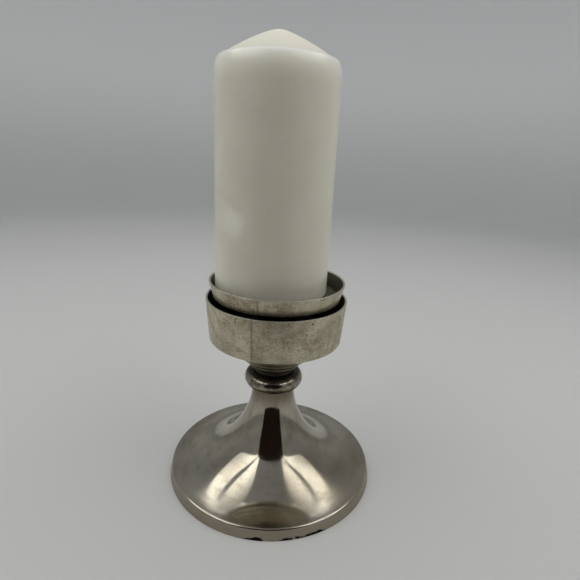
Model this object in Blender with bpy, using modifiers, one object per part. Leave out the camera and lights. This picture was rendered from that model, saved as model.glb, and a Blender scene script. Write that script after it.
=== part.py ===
"""Pedestal candle holder: weighted trumpet foot, bead, screw-on cup, lift-out drip pan and pillar candle.

Metres, +Z up, origin on the table under the middle of the foot. Every piece is turned about the stem's
axis, except the nuts. The heights stack up from the table: foot, bead, washer, cup, pan, candle.
"""

import math

import bmesh
import bpy

# Faceting and the clearance between pieces that touch
SEGMENTS = 48
HIDDEN_SEGMENTS = 32
GAP = 0.0003

# Foot: a rim band that leans in, a rounded corner and a cove that sweeps up to the neck
FOOT_RADIUS = 0.0700
FOOT_CORNER_HEIGHT = 0.0072
RIM_DRAFT = 0.00165
CORNER_ROUND = 0.0011
NECK_RADIUS = 0.0140
NECK_HEIGHT = 0.0642
COVE_POWER = 1.9
FOOT_WALL = 0.0012
RIM_LIFT = 0.0004

# Felt, weight and the fastening inside the foot
FELT_THICKNESS = 0.0015
FELT_MARGIN = 0.0010
WEIGHT_CAP = 0.0110
ROD_RADIUS = 0.0040
ROD_CLEARANCE = 0.0003
ROD_TAIL = 0.0012
NUT_FLAT_WALL = 0.0022
NUT_HEIGHT = 0.0065
NUT_ROOM = 0.0012
WASHER_MARGIN = 0.0035
WASHER_THICKNESS = 0.0016
COUNTERBORE_MARGIN = 0.0015

# Bead on the neck, with a sunk jam nut that holds the rod
BEAD_OVERHANG = 0.0054
BEAD_HEIGHT = 0.0107
SPIGOT_LENGTH = 0.0060
JAM_NUT_HEIGHT = 0.0040
JAM_NUT_SINK = 0.0006

# Washer under the cup
CUP_WASHER_THICKNESS = 0.0008
CUP_WASHER_INSET = 0.0008

# Cup: funnel, drum band and the boss in its throat
THROAT_ROOM = 0.0015
FUNNEL_RISE = 0.0236
FUNNEL_POWER = 1.27
FUNNEL_WALL = 0.0012
FLANGE_START = 0.0011
FLANGE_HEIGHT = 0.0040
BAND_BOTTOM_RADIUS = 0.0428
BAND_TOP_RADIUS = 0.0448
BAND_HEIGHT = 0.0267
BAND_WALL = 0.0013
BOSS_RADIUS = 0.0095
STUD_LENGTH = 0.0110
BOSS_CAP = 0.0020
SOCKET_WALL = 0.0012
SOCKET_BELOW_RIM = 0.0115

# Drip pan and the peg under it
PAN_STANDOFF = 0.0011
PAN_HEIGHT = 0.0100
PAN_FLARE = 0.0027
PAN_WALL = 0.0012
PAN_FLOOR_THICKNESS = 0.0012
PAN_FLOOR_RISE = 0.0003
PEG_RADIUS = 0.0110
PEG_CLEARANCE = 0.0003
PEG_WALL = 0.0020
PEG_ROOM = 0.0010

# Candle: it stands to one side of the pan, against the pan's wall
CANDLE_RADIUS = 0.0352
CANDLE_ROOM = 0.0037
CANDLE_SHOULDER_HEIGHT = 0.1343
CANDLE_SHOULDER_INSET = 0.0024
CANDLE_SHOULDER_DROP = 0.0060
CANDLE_DOME_HEIGHT = 0.0138
CANDLE_DOME_POWER = 1.6
CANDLE_FOOT_ROUND = 0.0035
CANDLE_SIDE_GAP = 0.0011
CANDLE_SIDE_ANGLE = math.radians(170)
WICK_RADIUS = 0.0012
WICK_CLEARANCE = 0.0004
WICK_RECESS = 0.0012

# Radii that follow from what goes through or into each piece
ROD_BORE = ROD_RADIUS + ROD_CLEARANCE
NUT_FLAT_RADIUS = ROD_BORE + NUT_FLAT_WALL
NUT_CORNER_RADIUS = NUT_FLAT_RADIUS / math.cos(math.pi / 6)
WASHER_RADIUS = NUT_CORNER_RADIUS + WASHER_MARGIN
COUNTERBORE_RADIUS = WASHER_RADIUS + COUNTERBORE_MARGIN
JAM_RECESS_RADIUS = NUT_CORNER_RADIUS + GAP
SPIGOT_RADIUS = NECK_RADIUS - FOOT_WALL - GAP
PEG_BORE = PEG_RADIUS + PEG_CLEARANCE
SOCKET_RADIUS = PEG_BORE + SOCKET_WALL
THROAT_RADIUS = SOCKET_RADIUS + THROAT_ROOM
PAN_INNER_RADIUS = CANDLE_RADIUS + CANDLE_ROOM
WICK_BORE = WICK_RADIUS + WICK_CLEARANCE

# Heights of the stack above the table
WEIGHT_BOTTOM = FELT_THICKNESS + GAP
COUNTERBORE_DEPTH = 2 * GAP + WASHER_THICKNESS + NUT_HEIGHT + ROD_TAIL + NUT_ROOM
COUNTERBORE_TOP = WEIGHT_BOTTOM + COUNTERBORE_DEPTH
WEIGHT_TOP = COUNTERBORE_TOP + WEIGHT_CAP
WASHER_BOTTOM = COUNTERBORE_TOP - GAP - WASHER_THICKNESS
NUT_BOTTOM = WASHER_BOTTOM - GAP - NUT_HEIGHT
ROD_BOTTOM = NUT_BOTTOM - ROD_TAIL
KNOP_BOTTOM = NECK_HEIGHT + GAP
KNOP_TOP = KNOP_BOTTOM + BEAD_HEIGHT
JAM_RECESS_DEPTH = JAM_NUT_SINK + JAM_NUT_HEIGHT + GAP
JAM_NUT_BOTTOM = KNOP_TOP - JAM_NUT_SINK - JAM_NUT_HEIGHT
CUP_WASHER_BOTTOM = KNOP_TOP + GAP
CUP_BOTTOM = CUP_WASHER_BOTTOM + CUP_WASHER_THICKNESS + GAP
ROD_TOP = CUP_BOTTOM + STUD_LENGTH
BAND_BOTTOM = CUP_BOTTOM + FUNNEL_RISE
CUP_RIM = BAND_BOTTOM + BAND_HEIGHT
SOCKET_TOP = CUP_RIM - SOCKET_BELOW_RIM
PEG_BORE_BOTTOM = ROD_TOP + BOSS_CAP
PEG_SHOULDER = SOCKET_TOP + GAP
PEG_BOTTOM = PEG_BORE_BOTTOM + PEG_ROOM
PAN_BOTTOM = CUP_RIM + PAN_STANDOFF
PAN_FLOOR_BOTTOM = PAN_BOTTOM + PAN_FLOOR_RISE
PAN_FLOOR_TOP = PAN_FLOOR_BOTTOM + PAN_FLOOR_THICKNESS
PEG_TOP = PAN_FLOOR_BOTTOM - GAP
CANDLE_BOTTOM = PAN_FLOOR_TOP + GAP

# Smoothness of the curves in a profile, and other settings of the drawing
COVE_STEPS = 14
FUNNEL_STEPS = 6
BEAD_STEPS = 12
DOME_STEPS = 5
ROUND_STEPS = 3
MERGE_DISTANCE = 0.00001
AXIS_MARK_SIZE = 0.02

for old in list(bpy.data.objects):
    bpy.data.objects.remove(old, do_unlink=True)

holder = bpy.data.collections.new("pedestal_candle_holder")
cutters = bpy.data.collections.new("cutters")
cutters.hide_render = True
for collection in (holder, cutters):
    bpy.context.scene.collection.children.link(collection)


def finish(name, colour, roughness, metallic):
    """A plain material for one piece."""
    material = bpy.data.materials.new(name)
    material.use_nodes = True
    shader = material.node_tree.nodes["Principled BSDF"]
    shader.inputs["Base Color"].default_value = (*colour, 1.0)
    shader.inputs["Roughness"].default_value = roughness
    shader.inputs["Metallic"].default_value = metallic
    return material


def axis_empty(name, place, parent=None):
    """A marker on a joint's axis, which the pieces of one moving body hang from."""
    empty = bpy.data.objects.new(name, None)
    empty.empty_display_size = AXIS_MARK_SIZE
    holder.objects.link(empty)
    empty.parent = parent
    empty.location = place
    return empty


def add(obj, material, parent, height):
    """Puts a piece on its body's axis at a height above the body's marker."""
    holder.objects.link(obj)
    obj.parent = parent
    obj.location = (0.0, 0.0, height)
    obj.data.materials.append(material)
    return obj


def turned(name, profile, segments=SEGMENTS):
    """A piece turned about Z from (radius, height) points, down its outer side and back up the inner one."""
    mesh = bpy.data.meshes.new(name)
    points = [(radius, 0.0, height) for radius, height in profile]
    edges = [(i, i + 1) for i in range(len(points) - 1)]
    if profile[0][0] > 0.0:
        edges.append((len(points) - 1, 0))
    mesh.from_pydata(points, edges, [])
    obj = bpy.data.objects.new(name, mesh)
    turn = obj.modifiers.new("Turn", "SCREW")
    turn.axis = "Z"
    turn.steps = segments
    turn.render_steps = segments
    turn.use_merge_vertices = True
    turn.merge_threshold = MERGE_DISTANCE
    turn.use_smooth_shade = True
    return obj


def ring(name, outer, inner, height, segments=SEGMENTS):
    """A plain flat ring with its underside at local height 0."""
    return turned(name, [(outer, height), (outer, 0.0), (inner, 0.0), (inner, height)], segments)


def disc(name, radius, height, segments=SEGMENTS):
    """A solid disc or rod with its underside at local height 0."""
    return turned(name, [(0.0, height), (radius, height), (radius, 0.0), (0.0, 0.0)], segments)


def offset_inside(profile, distance):
    """A line that runs at a distance inside a profile, with mitred corners."""
    normals = []
    for (r0, z0), (r1, z1) in zip(profile, profile[1:]):
        length = math.hypot(r1 - r0, z1 - z0)
        normals.append(((z0 - z1) / length, (r1 - r0) / length))
    inside = []
    for i, (radius, height) in enumerate(profile):
        before = normals[max(i - 1, 0)]
        after = normals[min(i, len(normals) - 1)]
        across = (before[0] + after[0], before[1] + after[1])
        share = 2.0 * distance / (across[0] ** 2 + across[1] ** 2)
        inside.append((radius - across[0] * share, height - across[1] * share))
    return inside


def between(profile, top, bottom):
    """The stretch of a falling profile between two heights."""
    stretch = []
    for (r0, z0), (r1, z1) in zip(profile, profile[1:]):
        for level in (top, bottom):
            if z0 > level >= z1:
                share = (z0 - level) / (z0 - z1)
                stretch.append((r0 + (r1 - r0) * share, level))
        if bottom < z1 < top:
            stretch.append((r1, z1))
    return stretch


def arc(centre, across, up, start, end, steps):
    """Points on an ellipse about a centre, from one angle to another in degrees."""
    points = []
    for i in range(steps + 1):
        angle = math.radians(start + (end - start) * i / steps)
        points.append((centre[0] + across * math.cos(angle), centre[1] + up * math.sin(angle)))
    return points


def eased_corner(start, corner, end, steps):
    """A rounded corner: a curve that leaves start and reaches end along lines through the corner."""
    points = []
    for i in range(steps + 1):
        t = i / steps
        weights = ((1 - t) ** 2, 2 * t * (1 - t), t**2)
        points.append(
            tuple(sum(w * p[k] for w, p in zip(weights, (start, corner, end))) for k in range(2))
        )
    return points


def hex_nut(name, height):
    """A six-sided nut with a round bore for the tie rod, its underside at local height 0."""
    mesh = bpy.data.meshes.new(name)
    body = bmesh.new()
    bmesh.ops.create_cone(
        body, cap_ends=True, segments=6, radius1=NUT_CORNER_RADIUS, radius2=NUT_CORNER_RADIUS, depth=height
    )
    bmesh.ops.translate(body, verts=body.verts, vec=(0.0, 0.0, height / 2))
    body.to_mesh(mesh)
    body.free()
    nut = bpy.data.objects.new(name, mesh)
    drill = ring_cutter(name + "_bore", ROD_BORE, height)
    cut = nut.modifiers.new("Bore", "BOOLEAN")
    cut.operation = "DIFFERENCE"
    cut.solver = "EXACT"
    cut.object = drill
    return nut, drill


def ring_cutter(name, radius, height):
    """A round drill that runs past both faces of a piece of the given height."""
    mesh = bpy.data.meshes.new(name)
    body = bmesh.new()
    bmesh.ops.create_cone(
        body, cap_ends=True, segments=HIDDEN_SEGMENTS, radius1=radius, radius2=radius, depth=3 * height
    )
    bmesh.ops.translate(body, verts=body.verts, vec=(0.0, 0.0, height / 2))
    body.to_mesh(mesh)
    body.free()
    drill = bpy.data.objects.new(name, mesh)
    drill.hide_render = True
    drill.display_type = "WIRE"
    cutters.objects.link(drill)
    return drill


def add_nut(name, height, material, parent, place):
    """A nut at a height on the tie rod, with its drill in the same place."""
    nut, drill = hex_nut(name, height)
    add(nut, material, parent, place)
    drill.parent = parent
    drill.location = nut.location


def foot_line():
    """The foot's outside from the neck to the rim, with a sharp corner above the rim band."""
    corner_radius = FOOT_RADIUS - RIM_DRAFT
    cove_end = corner_radius - CORNER_ROUND
    line = []
    for i in range(COVE_STEPS + 1):
        angle = math.pi / 2 * i / COVE_STEPS
        inwards = max(math.cos(angle), 0.0) ** (2 / COVE_POWER)
        downwards = math.sin(angle) ** (2 / COVE_POWER)
        radius = cove_end - (cove_end - NECK_RADIUS) * inwards
        line.append((radius, NECK_HEIGHT - (NECK_HEIGHT - FOOT_CORNER_HEIGHT) * downwards))
    return line, (corner_radius, FOOT_CORNER_HEIGHT), (FOOT_RADIUS, RIM_LIFT)


# Foot shell: spun from one sheet, open below
cove, foot_corner, rim_edge = foot_line()
sharp_foot = cove + [foot_corner, rim_edge]
rim_slope = RIM_DRAFT / (FOOT_CORNER_HEIGHT - RIM_LIFT)
corner_end = (foot_corner[0] + rim_slope * CORNER_ROUND, foot_corner[1] - CORNER_ROUND)
rounded_foot = cove[:-1] + eased_corner(cove[-1], foot_corner, corner_end, ROUND_STEPS) + [rim_edge]
inner_foot = offset_inside(sharp_foot, FOOT_WALL)

pedestal = axis_empty("pedestal_axis", (0.0, 0.0, 0.0))
add(
    turned("foot_shell", rounded_foot + inner_foot[::-1]),
    finish("foot_nickel", (0.55, 0.52, 0.46), 0.22, 1.0),
    pedestal,
    0.0,
)

# Foot weight: cast filler that follows the inside of the cove, bored for the rod and its nut
weight_side = between(offset_inside(sharp_foot, FOOT_WALL + GAP), WEIGHT_TOP, WEIGHT_BOTTOM)
weight_inside = [
    (COUNTERBORE_RADIUS, WEIGHT_BOTTOM),
    (COUNTERBORE_RADIUS, COUNTERBORE_TOP),
    (ROD_BORE, COUNTERBORE_TOP),
    (ROD_BORE, WEIGHT_TOP),
]
add(
    turned("foot_weight", weight_side + weight_inside, HIDDEN_SEGMENTS),
    finish("cement", (0.42, 0.40, 0.37), 0.9, 0.0),
    pedestal,
    0.0,
)

# Felt pad: what the holder stands on
felt_pad = disc("felt_pad", weight_side[-1][0] - FELT_MARGIN, FELT_THICKNESS)
add(felt_pad, finish("felt", (0.03, 0.07, 0.04), 1.0, 0.0), pedestal, 0.0)

# Tie rod with its washer and nut under the weight
tie_rod = disc("tie_rod", ROD_RADIUS, ROD_TOP - ROD_BOTTOM, HIDDEN_SEGMENTS)
add(tie_rod, finish("rod_steel", (0.50, 0.50, 0.50), 0.35, 1.0), pedestal, ROD_BOTTOM)
rod_washer = ring("rod_washer", WASHER_RADIUS, ROD_BORE, WASHER_THICKNESS, HIDDEN_SEGMENTS)
add(rod_washer, finish("washer_steel", (0.52, 0.52, 0.52), 0.35, 1.0), pedestal, WASHER_BOTTOM)
add_nut("rod_nut", NUT_HEIGHT, finish("nut_steel", (0.48, 0.48, 0.48), 0.35, 1.0), pedestal, NUT_BOTTOM)

# Knop ring: a turned bead with a spigot that plugs into the neck and a recess for the jam nut
bead = arc((NECK_RADIUS, BEAD_HEIGHT / 2), BEAD_OVERHANG, BEAD_HEIGHT / 2, 90, -90, BEAD_STEPS)
knop_line = bead + [
    (SPIGOT_RADIUS, 0.0),
    (SPIGOT_RADIUS, -SPIGOT_LENGTH),
    (ROD_BORE, -SPIGOT_LENGTH),
    (ROD_BORE, BEAD_HEIGHT - JAM_RECESS_DEPTH),
    (JAM_RECESS_RADIUS, BEAD_HEIGHT - JAM_RECESS_DEPTH),
    (JAM_RECESS_RADIUS, BEAD_HEIGHT),
]
bead_nickel = finish("bead_nickel", (0.50, 0.47, 0.41), 0.28, 1.0)
add(turned("knop_ring", knop_line), bead_nickel, pedestal, KNOP_BOTTOM)
jam_nut_steel = finish("jam_nut_steel", (0.48, 0.48, 0.48), 0.35, 1.0)
add_nut("jam_nut", JAM_NUT_HEIGHT, jam_nut_steel, pedestal, JAM_NUT_BOTTOM)

# Cup washer: a leather ring squeezed between the bead and the cup
washer_axis = axis_empty("cup_rise_axis", (0.0, 0.0, CUP_WASHER_BOTTOM), pedestal)
cup_washer = ring("cup_washer", THROAT_RADIUS - CUP_WASHER_INSET, BOSS_RADIUS, CUP_WASHER_THICKNESS)
add(cup_washer, finish("washer_leather", (0.05, 0.04, 0.03), 0.8, 0.0), washer_axis, 0.0)


def band_inside(height):
    """The inner radius of the cup's band at a height above the band's lower edge."""
    lean = (BAND_TOP_RADIUS - BAND_BOTTOM_RADIUS) / BAND_HEIGHT
    return BAND_BOTTOM_RADIUS + lean * height - BAND_WALL


# Cup funnel: a bell with a hole for the boss and a flange that the band is soldered to
cup = axis_empty("cup_turn_axis", (0.0, 0.0, CUP_BOTTOM - CUP_WASHER_BOTTOM), washer_axis)
flange_top = FLANGE_START + FLANGE_HEIGHT
bell_height = FUNNEL_RISE + FLANGE_START
bell_flare = band_inside(FLANGE_START) - GAP - THROAT_RADIUS
funnel_outside = [(band_inside(flange_top) - GAP, FUNNEL_RISE + flange_top)]
for i in range(FUNNEL_STEPS + 1):
    share = 1 - i / FUNNEL_STEPS
    funnel_outside.append((THROAT_RADIUS + bell_flare * share**FUNNEL_POWER, bell_height * share))
funnel_outside.append((BOSS_RADIUS + GAP, 0.0))
funnel_line = funnel_outside + offset_inside(funnel_outside, FUNNEL_WALL)[::-1]
add(turned("cup_funnel", funnel_line), finish("cup_nickel", (0.52, 0.48, 0.41), 0.38, 1.0), cup, 0.0)

# Cup band: sheet rolled into a slightly flared drum
band_line = [
    (BAND_TOP_RADIUS, BAND_HEIGHT),
    (BAND_BOTTOM_RADIUS, 0.0),
    (band_inside(0.0), 0.0),
    (band_inside(BAND_HEIGHT), BAND_HEIGHT),
]
add(turned("cup_band", band_line), finish("band_nickel", (0.54, 0.50, 0.43), 0.36, 1.0), cup, FUNNEL_RISE)

# Cup socket: a boss that screws on the tie rod, with a bore above for the pan's peg
socket_shoulder = FUNNEL_WALL + GAP
socket_height = SOCKET_TOP - CUP_BOTTOM
peg_bore_height = PEG_BORE_BOTTOM - CUP_BOTTOM
socket_line = [
    (SOCKET_RADIUS, socket_height),
    (SOCKET_RADIUS, socket_shoulder),
    (BOSS_RADIUS, socket_shoulder),
    (BOSS_RADIUS, 0.0),
    (ROD_BORE, 0.0),
    (ROD_BORE, peg_bore_height),
    (PEG_BORE, peg_bore_height),
    (PEG_BORE, socket_height),
]
cup_socket = turned("cup_socket", socket_line, HIDDEN_SEGMENTS)
add(cup_socket, finish("socket_brass", (0.60, 0.45, 0.20), 0.4, 1.0), cup, 0.0)

# Drip pan: flared wall, flat floor and the peg that drops into the cup's socket
pan = axis_empty("pan_lift_axis", (0.0, 0.0, PAN_BOTTOM - CUP_BOTTOM), cup)


def pan_inside(height):
    """The inner radius of the pan's wall at a height above the wall's lower edge."""
    return PAN_INNER_RADIUS + PAN_FLARE * height / PAN_HEIGHT


pan_wall_line = [
    (pan_inside(PAN_HEIGHT) + PAN_WALL, PAN_HEIGHT),
    (pan_inside(0.0) + PAN_WALL, 0.0),
    (pan_inside(0.0), 0.0),
    (pan_inside(PAN_HEIGHT), PAN_HEIGHT),
]
add(turned("pan_wall", pan_wall_line), finish("pan_nickel", (0.54, 0.51, 0.44), 0.34, 1.0), pan, 0.0)

pan_floor = disc("pan_floor", pan_inside(PAN_FLOOR_RISE) - GAP, PAN_FLOOR_THICKNESS)
add(pan_floor, finish("floor_nickel", (0.30, 0.28, 0.22), 0.45, 1.0), pan, PAN_FLOOR_RISE)

peg_bore = PEG_RADIUS - PEG_WALL
peg_column = PEG_TOP - PEG_SHOULDER
peg_depth = PEG_SHOULDER - PEG_BOTTOM
peg_line = [
    (0.0, peg_column),
    (SOCKET_RADIUS, peg_column),
    (SOCKET_RADIUS, 0.0),
    (PEG_RADIUS, 0.0),
    (PEG_RADIUS, -peg_depth),
    (peg_bore, -peg_depth),
    (peg_bore, peg_column - PEG_WALL),
    (0.0, peg_column - PEG_WALL),
]
add(
    turned("pan_peg", peg_line, HIDDEN_SEGMENTS),
    finish("peg_brass", (0.58, 0.43, 0.20), 0.4, 1.0),
    pan,
    PEG_SHOULDER - PAN_BOTTOM,
)

# Candle: pushed to one side until its rounded foot nearly meets the pan's wall
touch_height = PAN_FLOOR_RISE + PAN_FLOOR_THICKNESS + GAP + CANDLE_FOOT_ROUND
candle_shift = pan_inside(min(touch_height, PAN_HEIGHT)) - CANDLE_RADIUS - CANDLE_SIDE_GAP
candle = axis_empty(
    "candle_lift_axis",
    (
        candle_shift * math.cos(CANDLE_SIDE_ANGLE),
        candle_shift * math.sin(CANDLE_SIDE_ANGLE),
        CANDLE_BOTTOM - PAN_BOTTOM,
    ),
    pan,
)
shoulder = (CANDLE_RADIUS - CANDLE_SHOULDER_INSET, CANDLE_SHOULDER_HEIGHT)
side_top = (CANDLE_RADIUS, CANDLE_SHOULDER_HEIGHT - CANDLE_SHOULDER_DROP)
pillar_line = []
for i in range(DOME_STEPS):
    radius = WICK_BORE + (shoulder[0] - WICK_BORE) * i / DOME_STEPS
    fall = (radius / shoulder[0]) ** CANDLE_DOME_POWER
    pillar_line.append((radius, CANDLE_SHOULDER_HEIGHT + CANDLE_DOME_HEIGHT * (1 - fall)))
foot_centre = (CANDLE_RADIUS - CANDLE_FOOT_ROUND, CANDLE_FOOT_ROUND)
pillar_line += eased_corner(shoulder, (CANDLE_RADIUS, CANDLE_SHOULDER_HEIGHT), side_top, ROUND_STEPS)
pillar_line += arc(foot_centre, CANDLE_FOOT_ROUND, CANDLE_FOOT_ROUND, 0, -90, ROUND_STEPS)
pillar_line += [(WICK_BORE, 0.0)]
add(turned("wax_pillar", pillar_line), finish("wax", (0.80, 0.79, 0.74), 0.45, 0.0), candle, 0.0)

wick = disc("wick", WICK_RADIUS, pillar_line[0][1] - WICK_RECESS, HIDDEN_SEGMENTS)
add(wick, finish("cotton", (0.85, 0.83, 0.76), 0.9, 0.0), candle, 0.0)
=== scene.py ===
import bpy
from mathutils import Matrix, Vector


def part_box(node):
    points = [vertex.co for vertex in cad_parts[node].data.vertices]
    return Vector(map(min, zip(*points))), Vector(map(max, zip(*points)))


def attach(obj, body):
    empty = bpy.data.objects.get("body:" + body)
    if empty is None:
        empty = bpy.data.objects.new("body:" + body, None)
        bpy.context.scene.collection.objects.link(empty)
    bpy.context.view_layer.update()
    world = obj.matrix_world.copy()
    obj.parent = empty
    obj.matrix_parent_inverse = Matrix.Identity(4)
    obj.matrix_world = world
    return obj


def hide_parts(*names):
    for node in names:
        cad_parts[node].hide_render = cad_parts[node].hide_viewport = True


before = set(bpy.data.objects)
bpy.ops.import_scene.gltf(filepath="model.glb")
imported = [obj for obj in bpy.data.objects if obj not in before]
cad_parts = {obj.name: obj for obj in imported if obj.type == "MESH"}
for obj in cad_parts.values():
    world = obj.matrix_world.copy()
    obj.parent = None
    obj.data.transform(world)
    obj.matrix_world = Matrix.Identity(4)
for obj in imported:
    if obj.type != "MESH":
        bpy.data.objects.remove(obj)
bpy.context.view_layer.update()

import math

import bmesh
import bpy
import numpy as np
from mathutils import Matrix, Vector

# Foot shell: a disc of nickel-plated sheet spun over a former, with a leaning rim band and a slim neck.
# The plate is polished and cloudy with age; the rim band is dull and chipped black where it meets the table.
foot_low, foot_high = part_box("foot_shell")
FOOT_RADIUS = foot_high.x
NECK_TOP = foot_high.z
NECK_RADIUS = 0.0140
COVE_POWER = 1.9
FOOT_CORNER_HEIGHT = 0.0072
RIM_DRAFT = 0.00165
FOOT_CORNER_ROUND = 0.0011
FOOT_SHEET = 0.0012
COVE_STEPS = 72
FOOT_DENT = 0.00012
CHIPS_LEFT = math.radians(-97)
CHIPS_RIGHT = math.radians(-73)


class Wire:
    """A node's output. Arithmetic on it adds Math nodes to its tree."""

    def __init__(self, board, socket):
        self.board = board
        self.socket = socket

    def maths(self, operation, *values):
        return self.board.add("ShaderNodeMath", {"operation": operation}, dict(enumerate(values)))

    def __add__(self, other):
        return self.maths("ADD", self, other)

    __radd__ = __add__

    def __sub__(self, other):
        return self.maths("SUBTRACT", self, other)

    def __rsub__(self, other):
        return self.maths("SUBTRACT", other, self)

    def __mul__(self, other):
        return self.maths("MULTIPLY", self, other)

    __rmul__ = __mul__

    def __truediv__(self, other):
        return self.maths("DIVIDE", self, other)

    def __rtruediv__(self, other):
        return self.maths("DIVIDE", other, self)

    def __pow__(self, other):
        return self.maths("POWER", self, other)

    def __abs__(self):
        return self.maths("ABSOLUTE", self)

    def ramp(self, low, high):
        """0 at low and below, 1 at high and above, with a smooth step between; low may be the larger."""
        ends = {"Value": self, "From Min": low, "From Max": high}
        return self.board.add("ShaderNodeMapRange", {"interpolation_type": "SMOOTHSTEP"}, ends)


class Board:
    """A node tree, with one way to add a node to it."""

    def __init__(self, tree):
        self.tree = tree

    def add(self, kind, settings=None, inputs=None, output=0):
        node = self.tree.nodes.new(kind)
        for key, value in (settings or {}).items():
            setattr(node, key, value)
        for key, value in (inputs or {}).items():
            self.plug(value, node.inputs[key])
        return Wire(self, node.outputs[output])

    def plug(self, value, socket):
        if isinstance(value, Wire):
            self.tree.links.new(value.socket, socket)
        else:
            socket.default_value = value

    def split(self, vector):
        node = self.add("ShaderNodeSeparateXYZ", None, {0: vector}).socket.node
        return [Wire(self, socket) for socket in node.outputs]

    def join(self, x, y, z):
        return self.add("ShaderNodeCombineXYZ", None, {0: x, 1: y, 2: z})

    def noise(self, vector, size, detail=3.0, roughness=0.55):
        """Cloudy noise whose blotches are about one size across, in metres."""
        inputs = {"Vector": vector, "Scale": 1 / size, "Detail": detail, "Roughness": roughness}
        return self.add("ShaderNodeTexNoise", None, inputs)

    def spots(self, vector, size, share, reach):
        """Round spots in some cells of a grid: share is how many cells, reach how much of a cell."""
        inputs = {"Vector": vector, "Scale": 1 / size}
        near = self.add("ShaderNodeTexVoronoi", None, inputs)
        chance = self.split(self.add("ShaderNodeTexVoronoi", None, inputs, "Color"))[0]
        return near.ramp(reach, 0.4 * reach) * chance.ramp(share, 0.9 * share)

    def tint(self, share, colour, other):
        """One colour going over to another."""
        inputs = {0: share, 6: colour, 7: other}
        return self.add("ShaderNodeMix", {"data_type": "RGBA"}, inputs, 2)


def lathe_tree():
    """Geometry nodes that turn the object's own line of (radius, 0, height) points about Z."""
    tree = bpy.data.node_groups.new("lathe", "GeometryNodeTree")
    names = {}
    for name, kind in (
        ("Profile", "NodeSocketGeometry"),
        ("Steps", "NodeSocketInt"),
        ("Start angle", "NodeSocketFloat"),
        ("Sweep", "NodeSocketFloat"),
        ("Dent depth", "NodeSocketFloat"),
        ("Dent size", "NodeSocketFloat"),
        ("Seed", "NodeSocketFloat"),
        ("Finish", "NodeSocketMaterial"),
    ):
        names[name] = tree.interface.new_socket(name, in_out="INPUT", socket_type=kind).identifier
    tree.interface.new_socket("Turned", in_out="OUTPUT", socket_type="NodeSocketGeometry")
    board = Board(tree)
    given = {s.name: Wire(board, s) for s in tree.nodes.new("NodeGroupInput").outputs if s.name}
    line = given["Profile"]
    count = board.add("GeometryNodeAttributeDomainSize", {"component": "MESH"}, {"Geometry": line})
    place = board.add("GeometryNodeInputPosition")
    grid = board.add(
        "GeometryNodeMeshGrid",
        None,
        {"Size X": 1.0, "Size Y": 1.0, "Vertices X": count, "Vertices Y": given["Steps"] + 1},
    )
    along, around, _ = board.split(place)
    order = (along + 0.5) * (count - 1)
    nearest = order.maths("ROUND", order)
    point = board.add(
        "GeometryNodeSampleIndex",
        {"data_type": "FLOAT_VECTOR", "domain": "POINT"},
        {"Geometry": line, "Value": place, "Index": nearest},
    )
    radius, _, height = board.split(point)
    angle = given["Start angle"] + (around + 0.5) * given["Sweep"]
    across = angle.maths("COSINE", angle)
    up = angle.maths("SINE", angle)
    here = board.join(radius * across, radius * up, height)
    cloud = {"W": given["Seed"], "Vector": here, "Scale": 1 / given["Dent size"], "Detail": 1.0}
    shake = board.add("ShaderNodeTexNoise", {"noise_dimensions": "4D"}, cloud, "Color")
    shake_out, shake_up, _ = board.split(shake)
    dented = radius + (shake_out - 0.5) * given["Dent depth"] * (radius * 1000).ramp(0.0, 1.0)
    raised = height + (shake_up - 0.5) * given["Dent depth"]
    turned = board.add(
        "GeometryNodeSetPosition",
        None,
        {"Geometry": grid, "Position": board.join(dented * across, dented * up, raised)},
    )
    closed = board.add("GeometryNodeMergeByDistance", None, {"Geometry": turned, "Distance": 0.000005})
    plain = board.add("GeometryNodeRealizeInstances", None, {"Geometry": closed})
    dressed = board.add("GeometryNodeSetMaterial", None, {"Geometry": plain, "Material": given["Finish"]})
    result = tree.nodes.new("NodeGroupOutput")
    board.plug(dressed, result.inputs[0])
    return tree, names


LATHE, LATHE_INPUTS = lathe_tree()


def lathe(name, profile, finish, steps=192, start=0.0, sweep=math.tau, dent=0.0, dent_size=0.03, seed=1.0):
    """A turned piece as a plain mesh. An open sweep gets flat ends, as on a rolled strip."""
    points = list(profile)
    if points[0][0] > 0.0:
        points.append(points[0])
    mesh = bpy.data.meshes.new(name)
    edges = [(i, i + 1) for i in range(len(points) - 1)]
    mesh.from_pydata([(radius, 0.0, height) for radius, height in points], edges, [])
    piece = bpy.data.objects.new(name, mesh)
    bpy.context.scene.collection.objects.link(piece)
    turn = piece.modifiers.new("lathe", "NODES")
    turn.node_group = LATHE
    for key, value in (
        ("Steps", steps),
        ("Start angle", start),
        ("Sweep", sweep),
        ("Dent depth", dent),
        ("Dent size", dent_size),
        ("Seed", seed),
        ("Finish", finish),
    ):
        turn[LATHE_INPUTS[key]] = value
    graph = bpy.context.evaluated_depsgraph_get()
    made = bpy.data.meshes.new_from_object(piece.evaluated_get(graph))
    piece.modifiers.clear()
    piece.data = made
    made.name = name
    shape = bmesh.new()
    shape.from_mesh(made)
    open_edges = [edge for edge in shape.edges if edge.is_boundary]
    if open_edges:
        bmesh.ops.holes_fill(shape, edges=open_edges)
    bmesh.ops.recalc_face_normals(shape, faces=shape.faces)
    shape.to_mesh(made)
    shape.free()
    made.shade_smooth()
    made.set_sharp_from_angle(angle=math.radians(38))
    return piece


def eased_corner(start, corner, end, steps=4):
    """A rounded corner that leaves start and reaches end along lines through the corner."""
    points = []
    for i in range(steps + 1):
        t = i / steps
        shares = ((1 - t) ** 2, 2 * t * (1 - t), t * t)
        pair = zip(*(tuple(share * v for v in p) for share, p in zip(shares, (start, corner, end))))
        points.append(tuple(sum(values) for values in pair))
    return points


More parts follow.
